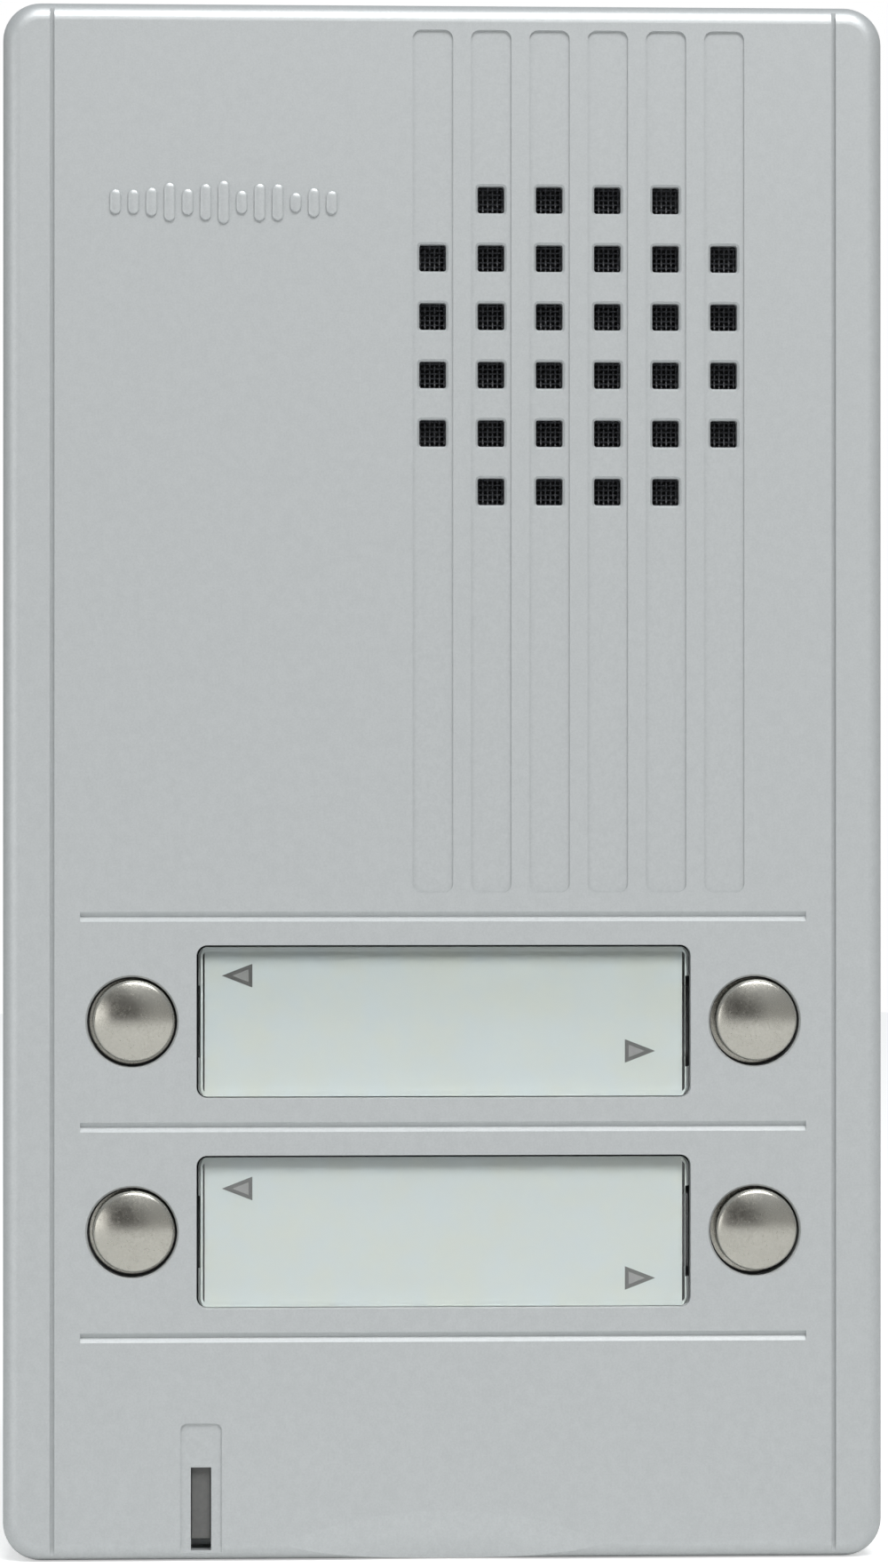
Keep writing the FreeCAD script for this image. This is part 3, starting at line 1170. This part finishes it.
def lead_solid(points, radius, bend):
    """A round lead along straight runs joined by tangent arcs of one bend radius."""
    edges = []
    start = points[0]
    for before, corner, after in zip(points, points[1:], points[2:]):
        inward = (before - corner).normalize()
        outward = (after - corner).normalize()
        half_angle = inward.getAngle(outward) / 2
        setback = bend / math.tan(half_angle)
        bisector = (inward + outward).normalize()
        centre = corner + bisector * (bend / math.sin(half_angle))
        first = corner + inward * setback
        last = corner + outward * setback
        edges.append(Part.LineSegment(start, first).toShape())
        edges.append(Part.Arc(first, centre - bisector * bend, last).toShape())
        start = last
    edges.append(Part.LineSegment(start, points[-1]).toShape())
    path = Part.Wire(edges)
    circle = Part.Circle(points[0], points[1] - points[0], radius)
    section = Part.Wire([circle.toShape()])
    solid = path.makePipeShell([section], True, True)
    return solid, path.Length


def leads(label, runs):
    """Two leads side by side, checked against section times length."""
    solids = []
    radius = number("lead_radius")
    for run in runs:
        points = [FreeCAD.Vector(number(x), -number(out), number(z)) for x, out, z in run]
        solid, length = lead_solid(points, radius, number("lead_bend"))
        expected = math.pi * radius ** 2 * length
        if abs(solid.Volume - expected) > 0.02 * expected:
            raise RuntimeError("%s: a lead's volume is not its section times its length" % label)
        print("%s: length %.1f mm, bend radius %.1f mm" % (label, length, number("lead_bend")))
        solids.append(solid)
    feature = doc.addObject("Part::Feature", label)
    feature.Shape = Part.makeCompound(solids)
    feature.Placement = FreeCAD.Placement()
    node(feature, label)


def speaker_leads():
    """From the solder tab back past the board's edge, and down into the socket."""
    tab_back = "(%s - flange_thick)" % FLANGE_BACK
    tab_z = "(%s - speaker_radius)" % GRILLE_Z
    socket_out = "(%s - socket_depth / 2)" % BOARD_BACK
    socket_top = "(%s - socket_drop)" % BOARD_TOP
    runs = []
    for sign in SIDES.values():
        shift = "%s * lead_spacing / 2" % sign
        runs.append([("%s + %s" % (GRILLE_X, shift), tab_back, tab_z),
                     ("%s + %s" % (GRILLE_X, shift), socket_out, tab_z),
                     ("%s + %s" % (SOCKET_X, shift), socket_out, "%s + lead_drop" % socket_top),
                     ("%s + %s" % (SOCKET_X, shift), socket_out, socket_top)])
    leads("speaker_leads", runs)


def microphone_leads():
    """From the capsule back below the board, and up into the socket."""
    capsule_back = "(%s - mic_depth)" % MIC_FRONT
    socket_out = "(%s - socket_depth / 2)" % BOARD_BACK
    socket_low = "(%s + mic_socket_rise - socket_height / 2)" % BOTTOM
    runs = []
    for sign in SIDES.values():
        x = "%s + %s * lead_spacing / 2" % (MIC_X, sign)
        runs.append([(x, capsule_back, MIC_Z), (x, socket_out, MIC_Z), (x, socket_out, socket_low)])
    leads("microphone_leads", runs)


# ---------------------------------------------------------------- wall side

def rear_gasket():
    """The foam seal that the cover's rim presses against the wall."""
    body = new_body("rear_gasket")
    ring = new_sketch(body)
    draw_rectangle(ring, "0", "0", "panel_width - 2 * gasket_inset",
                   "panel_height - 2 * gasket_inset", "corner_radius")
    draw_rectangle(ring, "0", "0", "panel_width - 2 * (gasket_inset + gasket_width)",
                   "panel_height - 2 * (gasket_inset + gasket_width)", "corner_radius / 2")
    pad(body, ring, "gasket_thick")


def mounting_bracket():
    """The steel bracket: plate, bent lip the cover hangs on, and bent tab for its screw."""
    body = new_body("mounting_bracket")
    plate = new_sketch(body)
    draw_rectangle(plate, "0", "0", "2 * " + BRACKET_HALF_WIDTH, "2 * " + BRACKET_HALF_HEIGHT,
                   "bracket_round")
    pad(body, plate, "bracket_thick")
    lip = new_sketch(body, "XY_Plane", "%s - bracket_thick" % BRACKET_HALF_HEIGHT)
    draw_rectangle(lip, "0", "-lip_out / 2", "lip_width", "lip_out")
    pad(body, lip, "bracket_thick")
    foot = new_sketch(body, "XY_Plane", "-" + BRACKET_HALF_HEIGHT)
    draw_rectangle(foot, "0", "-foot_out / 2", "foot_width", "foot_out")
    pad(body, foot, "bracket_thick")
    slots = new_sketch(body, "XY_Plane", BRACKET_HALF_HEIGHT)
    for sign in SIDES.values():
        draw_rectangle(slots, "%s * peg_spacing / 2" % sign, "-(peg_out - peg_thick / 2)",
                       "peg_width + 2 * peg_gap", "peg_thick + 2 * peg_gap")
    pocket(body, slots, "bracket_thick")
    thread = new_sketch(body, "XY_Plane", "-" + BRACKET_HALF_HEIGHT)
    draw_circle(thread, "0", "-cover_screw_out", "cover_screw_radius + thread_gap")
    pocket(body, thread, "bracket_thick", to_front=True)
    holes = new_sketch(body, offset="bracket_thick")
    draw_rectangle(holes, "0", "cable_rise + cable_height / 2", "cable_width", "cable_height",
                   "bracket_round")
    for sign in SIDES.values():
        draw_slot(holes, "0", "%s * box_spacing / 2" % sign, "box_slot_radius", "box_slot_length")
        for other in SIDES.values():
            draw_circle(holes, "%s * (%s - wall_hole_inset)" % (sign, HALF_WIDTH),
                        "%s * (%s - wall_hole_drop)" % (other, HALF_HEIGHT), "wall_hole_radius")
    pocket(body, holes, "bracket_thick")


def cover_screw():
    """The countersunk screw that holds the cover's bottom wall to the bracket's tab."""
    body = new_body("cover_screw")
    sketch = new_sketch(body)
    rim = "cover_screw_head - cover_screw_rim"
    draw_outline(sketch, [("0", "cover_screw_sink"), (rim, "cover_screw_sink"),
                          ("cover_screw_radius", "cover_head_height + cover_screw_sink"),
                          ("cover_screw_radius", "cover_screw_length"),
                          ("0", "cover_screw_length")])
    turn(body, sketch, axis="V_Axis")
    drive = new_sketch(body, "XY_Plane", "cover_screw_sink")
    draw_outline(drive, [("drive_radius * cos(%d deg)" % angle,
                          "drive_radius * sin(%d deg)" % angle)
                         for angle in range(0, 360, 60)])
    pocket(body, drive, "drive_depth", to_front=True)
    place(body, y="-cover_screw_out", z=BOTTOM)


# ---------------------------------------------------------------- build, check and write

def check_document():
    """Stop if any object failed, any cut removed nothing, or any node is not a good solid."""
    for thing in doc.Objects:
        if "Invalid" in thing.State or "Error" in thing.State:
            raise RuntimeError("%s (%s) is %s" % (thing.Name, thing.Label, thing.State))
        if thing.TypeId in ("PartDesign::Pocket", "PartDesign::Groove"):
            before = thing.BaseFeature.Shape.Volume
            if before - thing.Shape.Volume < 1e-4:
                raise RuntimeError("%s cuts nothing" % thing.Name)
        if thing.TypeId == "Sketcher::SketchObject" and not thing.FullyConstrained:
            raise RuntimeError("%s is not fully constrained" % thing.Name)
    for piece in nodes:
        if piece.Shape.isNull() or not piece.Shape.isValid() or not piece.Shape.Solids:
            raise RuntimeError("%s has no good solid" % piece.Label)


def write_nodes():
    """Write each node's shape to its own STEP file."""
    os.makedirs("parts", exist_ok=True)
    for piece in nodes:
        piece.Shape.exportStep(os.path.join("parts", piece.Label + ".step"))
        print("%-28s %d solid(s), %9.2f mm3" % (piece.Label, len(piece.Shape.Solids),
                                                piece.Shape.Volume))
    print("%d nodes" % len(nodes))


front_cover()
loudspeaker()
speaker_mounting()
for button_name, (button_x, button_z) in BUTTONS.items():
    call_button(button_name, button_x, button_z)
button_seals()
for row_name, row_z in ROWS.items():
    name_window(row_name, row_z)
backlights()
inner_chassis()
main_board()
terminal_block()
board_parts()
microphone()
speaker_leads()
microphone_leads()
rear_gasket()
mounting_bracket()
cover_screw()
doc.recompute()
check_document()
write_nodes()
